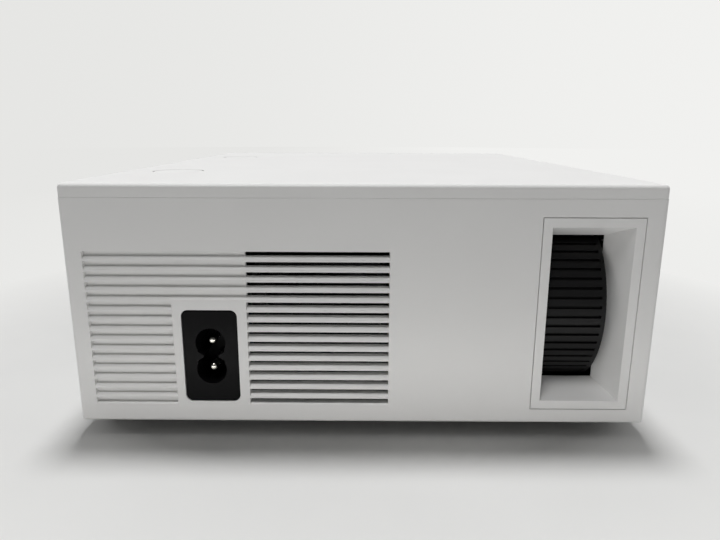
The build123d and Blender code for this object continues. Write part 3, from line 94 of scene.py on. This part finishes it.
class Finish:
    """A material with one Principled shader, and short calls for the nodes that feed it."""

    def __init__(self, name, color, roughness, **sockets):
        self.material = bpy.data.materials.new(name)
        self.material.use_nodes = True
        self.tree = self.material.node_tree
        self.shader = self.tree.nodes["Principled BSDF"]
        self.color = color
        self.roughness = roughness
        self.shader.inputs["Base Color"].default_value = (*color, 1.0)
        self.shader.inputs["Roughness"].default_value = roughness
        for name, value in sockets.items():
            self.shader.inputs[name.replace("_", " ")].default_value = value
        self.place = self.add("ShaderNodeTexCoord").outputs["Object"]

    def feed(self, socket, value):
        """Puts a number, a vector, a colour or another node's output on a socket."""
        if isinstance(value, bpy.types.NodeSocket):
            self.tree.links.new(value, socket)
        else:
            socket.default_value = value

    def add(self, kind, settings=None, **inputs):
        """A node of this kind, with its settings, and numbers or other nodes' outputs on its inputs."""
        node = self.tree.nodes.new(kind)
        for name, value in (settings or {}).items():
            setattr(node, name, value)
        for name, value in inputs.items():
            self.feed(node.inputs[name.replace("_", " ")], value)
        return node

    def combined(self, operation, *values, kind="ShaderNodeMath", output=0):
        """What a Math or Vector Math node makes of its values."""
        node = self.add(kind, {"operation": operation})
        for socket, value in zip(node.inputs, values):
            self.feed(socket, value)
        return node.outputs[output]

    def combined_vector(self, operation, *values, output=0):
        """The same for vectors."""
        return self.combined(operation, *values, kind="ShaderNodeVectorMath", output=output)

    def stretched(self, scale):
        """The place on the object with its axes scaled, which draws a pattern out along the smallest."""
        return self.add("ShaderNodeMapping", Vector=self.place, Scale=scale).outputs["Vector"]

    def noise(self, size, detail=3.0, place=None):
        """Noise from 0 to 1, with lumps about size millimetres across."""
        scale = 1 / (size * MM)
        node = self.add("ShaderNodeTexNoise", Vector=place or self.place, Scale=scale, Detail=detail)
        return node.outputs["Fac"]

    def cells(self, size, feature="F1", place=None):
        """Distance to the nearest cell's middle, or edge, with cells about size millimetres across."""
        settings = {"feature": feature}
        node = self.add("ShaderNodeTexVoronoi", settings, Vector=place or self.place, Scale=1 / (size * MM))
        return node.outputs["Distance"]

    def spread(self, value, low, high, start=0.3, end=0.7):
        """A value between start and end, spread over low to high."""
        sockets = {"From Min": start, "From Max": end, "To Min": low, "To Max": high}
        node = self.add("ShaderNodeMapRange", Value=value)
        for name, number in sockets.items():
            node.inputs[name].default_value = number
        return node.outputs["Result"]

    def mixed(self, factor, first, second):
        """A colour that goes from first to second with factor. Each may be a colour or a node's output."""
        node = self.add("ShaderNodeMix", {"data_type": "RGBA"})
        self.feed(node.inputs[0], factor)
        for socket, color in ((node.inputs[6], first), (node.inputs[7], second)):
            self.feed(socket, color if isinstance(color, bpy.types.NodeSocket) else (*color, 1.0))
        return node.outputs[2]

    def drift(self, amount, size=20):
        """The finish's own colour, a little lighter here and darker there."""
        light = [min(1.0, part * (1 + amount)) for part in self.color]
        dark = [part * (1 - amount) for part in self.color]
        return self.mixed(self.spread(self.noise(size, detail=2.0), 0.0, 1.0), dark, light)

    def sheen(self, amount, size=4):
        """The finish's own roughness, uneven by amount."""
        return self.spread(self.noise(size), self.roughness - amount, self.roughness + amount)

    def rounded(self, radius):
        """The surface's direction with its sharp edges rounded to this radius in millimetres."""
        return self.add("ShaderNodeBevel", {"samples": 6}, Radius=radius * MM).outputs["Normal"]

    def relief(self, height, depth, under=None):
        """Bumps depth millimetres high from a value between 0 and 1, on top of other relief if given."""
        node = self.add("ShaderNodeBump", Height=height, Strength=1.0, Distance=depth * MM)
        if under is not None:
            self.tree.links.new(under, node.inputs["Normal"])
        return node.outputs["Normal"]

    def made(self, **sockets):
        """Feeds outputs to the shader's own sockets, and gives the material."""
        for name, output in sockets.items():
            self.tree.links.new(output, self.shader.inputs[name.replace("_", " ")])
        return self.material


def moulded(name, color, roughness, grain, depth, edge, **sockets):
    """Moulded plastic: rounded edges, a fine even grain from the mould, uneven gloss, slight colour drift."""
    finish = Finish(name, color, roughness, **sockets)
    waves = finish.relief(finish.noise(WAVE_SIZE, detail=1.0), WAVE_DEPTH, finish.rounded(edge))
    return finish.made(
        Base_Color=finish.drift(0.02),
        Roughness=finish.sheen(0.04),
        Normal=finish.relief(finish.noise(grain, detail=2.0), depth, waves),
    )


def metal(name, color, roughness, stretch, depth, **sockets):
    """Metal: fine scratches drawn out along an axis, and stains that dull it in places."""
    finish = Finish(name, color, roughness, Metallic=1.0, **sockets)
    scratches = finish.noise(0.25, detail=4.0, place=finish.stretched(stretch))
    return finish.made(
        Base_Color=finish.drift(0.06, size=7),
        Roughness=finish.spread(finish.noise(2.0), roughness - 0.07, roughness + 0.10),
        Normal=finish.relief(scratches, depth, finish.rounded(0.1)),
    )


def white_plastic(name):
    return moulded(name, WHITE, WHITE_ROUGHNESS, WHITE_GRAIN, WHITE_GRAIN_DEPTH, WHITE_EDGE)


def white_shell(name):
    """The same white plastic, with painted shade: the faces inside the case are painted dark."""
    finish = Finish(name, WHITE, WHITE_ROUGHNESS)
    low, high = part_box("lower_case")
    low, high = low + Vector((SHELL, SHELL, SHELL)), high - Vector((SHELL, SHELL, 0))
    high.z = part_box("top_cover")[1].z - LID_PLATE
    middle, half = (low + high) / 2, (high - low) / 2 + Vector((PAINTED_SHADE_SPARE, PAINTED_SHADE_SPARE, PAINTED_SHADE_SPARE))
    offset = finish.combined_vector("SUBTRACT", finish.place, middle)
    share = finish.combined_vector("ABSOLUTE", finish.combined_vector("DIVIDE", offset, half))
    axes = finish.add("ShaderNodeSeparateXYZ", Vector=share).outputs
    furthest = finish.combined("MAXIMUM", finish.combined("MAXIMUM", axes["X"], axes["Y"]), axes["Z"])
    inside = finish.combined("LESS_THAN", furthest, 1.0)
    waves = finish.relief(finish.noise(WAVE_SIZE, detail=1.0), WAVE_DEPTH, finish.rounded(WHITE_EDGE))
    return finish.made(
        # painted shade: faces inside the case take the dark colour instead of white
        Base_Color=finish.mixed(inside, finish.drift(0.012, size=35), PAINTED_SHADE_INSIDE),
        Roughness=finish.sheen(0.04),
        Normal=finish.relief(finish.noise(WHITE_GRAIN, detail=2.0), WHITE_GRAIN_DEPTH, waves),
    )


def black_gloss(name):
    return moulded(name, (0.0045, 0.0045, 0.005), 0.34, 0.45, 0.004, 0.15, Specular_IOR_Level=0.08)


def black_plastic(name):
    return moulded(name, (0.009, 0.009, 0.0095), 0.46, 0.40, 0.010, 0.15, Specular_IOR_Level=0.20)


def grey_plastic(name):
    return moulded(name, (0.130, 0.132, 0.137), 0.52, 0.45, 0.010, 0.20)


def cream_plastic(name):
    return moulded(name, (0.680, 0.640, 0.540), 0.38, 0.60, 0.004, 0.15)


def pin_metal(name):
    return metal(name, (0.780, 0.760, 0.700), 0.24, (1.0, 0.1, 1.0), 0.003)


def steel(name):
    return metal(name, (0.560, 0.570, 0.580), 0.30, (0.08, 1.0, 1.0), 0.004)


def screw_steel(name):
    return metal(name, (0.330, 0.335, 0.345), 0.36, (1.0, 1.0, 0.3), 0.006)


def brass(name):
    return metal(name, (0.760, 0.570, 0.270), 0.28, (1.0, 1.0, 0.2), 0.004)


def aluminium(name):
    return metal(name, (0.720, 0.725, 0.735), 0.34, (1.0, 0.1, 1.0), 0.006)


def painted_shade_black(name):
    """Aluminium painted dull black as painted shade, so that nothing bright shows behind the open louvres."""
    return moulded(name, (0.012, 0.012, 0.013), 0.58, 0.25, 0.004, 0.10, Specular_IOR_Level=0.20)


def rubber(name):
    """Black rubber: pebbled, dull, with dust caught in the hollows."""
    finish = Finish(name, (0.018, 0.018, 0.019), 0.82)
    pebbles = finish.cells(0.6)
    dust = finish.spread(pebbles, 0.0, 0.35, start=0.35, end=0.85)
    return finish.made(
        Base_Color=finish.mixed(dust, finish.drift(0.10, size=5), (0.075, 0.072, 0.068)),
        Roughness=finish.sheen(0.06),
        Normal=finish.relief(pebbles, 0.05),
    )


def lens_glass(name):
    """Coated glass: clear, with a thin film that tints its reflections, and a trace of dust."""
    film = {"Thin_Film_Thickness": 130.0, "Thin_Film_IOR": 1.38}
    finish = Finish(name, (0.97, 0.985, 0.98), 0.02, IOR=1.52, Transmission_Weight=1.0, **film)
    dust = finish.spread(finish.noise(0.8, detail=5.0), 0.01, 0.12, start=0.60, end=0.85)
    return finish.made(Roughness=dust, Normal=finish.relief(finish.noise(14.0), 0.002))


def dark_window(name):
    """Smoked window that only infrared passes: nearly black, polished, with fine wiping marks."""
    finish = Finish(name, (0.020, 0.008, 0.012), 0.10, Coat_Weight=0.6, Coat_Roughness=0.06)
    marks = finish.noise(0.5, detail=4.0, place=finish.stretched((0.1, 1.0, 1.0)))
    return finish.made(
        Base_Color=finish.drift(0.15, size=3),
        Roughness=finish.spread(marks, 0.07, 0.18),
        Normal=finish.relief(marks, 0.001),
    )


def circuit_board(name):
    """Board under green resist: tracks show through as lighter raised lines, with pads where cells meet."""
    finish = Finish(name, (0.010, 0.085, 0.035), 0.32, Coat_Weight=0.3, Coat_Roughness=0.2)
    square = finish.cells(2.4, place=finish.stretched((1.0, 0.35, 1.0)))
    tracks = finish.spread(finish.cells(3.2, feature="DISTANCE_TO_EDGE"), 1.0, 0.0, start=0.03, end=0.06)
    pads = finish.spread(square, 1.0, 0.0, start=0.10, end=0.13)
    green = finish.mixed(tracks, finish.drift(0.12, size=6), (0.022, 0.150, 0.060))
    return finish.made(
        Base_Color=finish.mixed(pads, green, (0.60, 0.56, 0.42)),
        Roughness=finish.sheen(0.08),
        Normal=finish.relief(tracks, 0.03),
    )


def lcd(name):
    """Panel of liquid crystal: a dark sheet with a fine grid of cells."""
    finish = Finish(name, (0.035, 0.040, 0.050), 0.12, Coat_Weight=0.5, Coat_Roughness=0.05)
    rows = finish.add("ShaderNodeTexWave", {"bands_direction": "Z"}, Vector=finish.place, Scale=800.0)
    columns = finish.add("ShaderNodeTexWave", {"bands_direction": "Y"}, Vector=finish.place, Scale=800.0)
    grid = finish.combined("MAXIMUM", rows.outputs["Fac"], columns.outputs["Fac"])
    return finish.made(
        Base_Color=finish.mixed(grid, (0.060, 0.068, 0.082), (0.018, 0.020, 0.024)),
        Roughness=finish.spread(finish.noise(5.0), 0.08, 0.20),
    )


def led(name):
    """Lamp chip: a yellow layer of phosphor, grainy and a little domed by its grain."""
    finish = Finish(name, (0.800, 0.640, 0.120), 0.45)
    grains = finish.cells(0.3)
    return finish.made(
        Base_Color=finish.mixed(finish.spread(grains, 0.0, 1.0), (0.86, 0.72, 0.18), (0.66, 0.50, 0.07)),
        Roughness=finish.sheen(0.08, size=1.5),
        Normal=finish.relief(grains, 0.02),
    )


def capacitor_sleeve(name):
    """Shrunk sleeve of a capacitor: dark blue film with a slight wrinkle."""
    finish = Finish(name, (0.015, 0.022, 0.060), 0.30, Coat_Weight=0.3, Coat_Roughness=0.2)
    wrinkles = finish.noise(1.6, detail=3.0, place=finish.stretched((1.0, 1.0, 0.25)))
    return finish.made(
        Base_Color=finish.drift(0.15, size=4),
        Roughness=finish.sheen(0.06),
        Normal=finish.relief(wrinkles, 0.02),
    )


SLOT_FINISHES = (
    white_plastic, black_gloss, black_plastic, grey_plastic, cream_plastic, pin_metal, steel, screw_steel,
    brass, aluminium, rubber, lens_glass, dark_window, circuit_board, lcd, led, capacitor_sleeve,
)


def dress(slots):
    """Gives every node the finish of its slot in the record, save the shells, painted dark inside as painted
    shade, and the heatsink, painted black as painted shade.
    """
    special = dict.fromkeys(SHELL_NODES, white_shell("white_shell"))
    # painted shade: the heatsink is painted black so it shows dark behind the open louvres
    special["heatsink"] = painted_shade_black("painted_shade_black")
    for subpart in frame["record"]["subparts"]:
        obj = nodes[subpart["node"]]
        slot = subpart["material_slot"]
        obj.data.materials.clear()
        obj.data.materials.append(special.get(obj.name) or slots[slot])


# ---- Stage ----
def floor():
    """A pale disc that turns into the backdrop's own tone away from the object, so no horizon shows; that
    tone is painted light, lighter on the right.
    """
    bpy.ops.mesh.primitive_circle_add(vertices=96, radius=FLOOR_RADIUS, fill_type="NGON")
    disc = bpy.context.object
    disc.name = "floor"
    finish = Finish("floor", FLOOR_COLOR, 0.75)
    paper = finish.relief(finish.noise(1.2, detail=4.0), 0.02)
    lit = finish.made(Base_Color=finish.drift(0.01, size=30), Normal=paper)
    distance = finish.combined_vector("LENGTH", finish.place, output="Value")
    faded = finish.spread(distance, 0.0, 1.0, start=FADE_START, end=FADE_END)
    across = finish.add("ShaderNodeSeparateXYZ", Vector=finish.place).outputs["X"]
    side = finish.spread(across, 0.0, 1.0, start=-FLOOR_TONE_REACH, end=FLOOR_TONE_REACH)
    # painted light: the glow seen by the camera is darker on the left and lighter on the right
    tone = finish.mixed(side, BACKGROUND_LEFT, BACKGROUND_RIGHT)
    glow = finish.add("ShaderNodeEmission", Color=tone, Strength=1.0).outputs["Emission"]
    seen = finish.combined("MULTIPLY", faded, finish.add("ShaderNodeLightPath").outputs["Is Camera Ray"])
    blend = finish.add("ShaderNodeMixShader", Fac=seen)
    finish.tree.links.new(finish.shader.outputs["BSDF"], blend.inputs[1])
    finish.tree.links.new(glow, blend.inputs[2])
    finish.tree.links.new(blend.outputs["Shader"], finish.tree.nodes["Material Output"].inputs["Surface"])
    disc.data.materials.append(lit)


def world():
    """Soft light from the sides and behind, little from the front, and a backdrop painted lighter on the
    right as painted light.
    """
    sky = bpy.data.worlds.new("studio")
    bpy.context.scene.world = sky
    sky.use_nodes = True
    tree = sky.node_tree

    def ramp(value, start, end, low, high):
        node = tree.nodes.new("ShaderNodeMapRange")
        node.interpolation_type = "SMOOTHSTEP"
        tree.links.new(value, node.inputs["Value"])
        for name, number in (("From Min", start), ("From Max", end), ("To Min", low), ("To Max", high)):
            node.inputs[name].default_value = number
        return node.outputs["Result"]

    way = tree.nodes.new("ShaderNodeSeparateXYZ")
    tree.links.new(tree.nodes.new("ShaderNodeTexCoord").outputs["Generated"], way.inputs["Vector"])
    light = tree.nodes["Background"]
    light.inputs["Color"].default_value = (1.0, 1.0, 0.99, 1.0)
    level = tree.nodes.new("ShaderNodeMix")
    tree.links.new(ramp(way.outputs["Y"], -SIDE_TURN, SIDE_TURN, 0.0, 1.0), level.inputs["Factor"])
    level.inputs["A"].default_value = CAMERA_LEVEL
    height = ramp(way.outputs["Z"], CEILING_FROM, CEILING_TO, ROOM_LEVEL, CEILING_LEVEL)
    tree.links.new(height, level.inputs["B"])
    tree.links.new(level.outputs["Result"], light.inputs["Strength"])
    shown = tree.nodes.new("ShaderNodeBackground")
    tone = tree.nodes.new("ShaderNodeMix")
    tone.data_type = "RGBA"
    # painted light: the backdrop shown to the camera is darker on the left and lighter on the right
    tree.links.new(ramp(way.outputs["X"], -SKY_TONE_REACH, SKY_TONE_REACH, 0.0, 1.0), tone.inputs[0])
    tone.inputs[6].default_value = (*BACKGROUND_LEFT, 1.0)
    tone.inputs[7].default_value = (*BACKGROUND_RIGHT, 1.0)
    tree.links.new(tone.outputs[2], shown.inputs["Color"])
    path = tree.nodes.new("ShaderNodeLightPath")
    either = tree.nodes.new("ShaderNodeMath")
    either.operation = "MAXIMUM"
    tree.links.new(path.outputs["Is Camera Ray"], either.inputs[0])
    tree.links.new(path.outputs["Is Transmission Ray"], either.inputs[1])
    mix = tree.nodes.new("ShaderNodeMixShader")
    tree.links.new(either.outputs["Value"], mix.inputs["Fac"])
    tree.links.new(light.outputs["Background"], mix.inputs[1])
    tree.links.new(shown.outputs["Background"], mix.inputs[2])
    tree.links.new(mix.outputs["Shader"], tree.nodes["World Output"].inputs["Surface"])


def lamp(name, place, aim, size, power, color):
    """A soft oval lamp at place, turned towards aim."""
    data = bpy.data.lights.new(name, "AREA")
    data.shape = "ELLIPSE"
    data.size, data.size_y = size
    data.energy = power
    data.color = color
    placed = bpy.data.objects.new(name, data)
    placed.location = place
    placed.rotation_mode = "QUATERNION"
    placed.rotation_quaternion = (aim - place).to_track_quat("-Z", "Y")
    placed.visible_camera = False
    bpy.context.collection.objects.link(placed)
    return placed


def overhead(name, level, tilt, radius):
    """A soft round lamp overhead, tilted from straight above by these angles."""
    along_x, along_y = (math.tan(math.radians(angle)) for angle in tilt)
    place = LAMP_DISTANCE * Vector((along_x, along_y, 1.0)).normalized()
    power = level * math.pi ** 2 * LAMP_DISTANCE ** 2
    return lamp(name, place, LAMP_AIM, (2 * radius, 2 * radius), power, NEUTRAL_LIGHT)


def lights():
    """A key lamp a little behind the object, and a front lamp and a low fill that don't light the floor."""
    key = overhead("key", KEY_LEVEL, KEY_TILT, KEY_RADIUS)
    key.visible_glossy = False    # its glare clips the top, seen from above
    front = overhead("front", FRONT_LEVEL, FRONT_TILT, FRONT_RADIUS)
    fill = lamp("fill", FILL_PLACE, FILL_AIM, FILL_SIZE, FILL_POWER, WARM_LIGHT)
    flagged = bpy.data.collections.new("object_only")
    for obj in nodes.values():
        flagged.objects.link(obj)
    for placed in (front, fill):
        placed.light_linking.receiver_collection = flagged


def camera():
    """The camera at the photograph's place and angle."""
    data = bpy.data.cameras.new("camera")
    data.lens = CAMERA_LENS
    data.sensor_width = 36.0
    data.clip_start = 0.01
    placed = bpy.data.objects.new("camera", data)
    placed.matrix_world = (
        Matrix.Translation(CAMERA_PLACE)
        @ Matrix.Rotation(math.radians(CAMERA_YAW), 4, "Z")
        @ Matrix.Rotation(math.radians(90 - CAMERA_PITCH), 4, "X")
        @ Matrix.Rotation(math.radians(CAMERA_ROLL), 4, "Z")
    )
    bpy.context.collection.objects.link(placed)
    bpy.context.scene.camera = placed


dress({finish.__name__: finish(finish.__name__) for finish in SLOT_FINISHES})
floor()
world()
lights()
camera()
bpy.context.scene.view_settings.view_transform = "Standard"
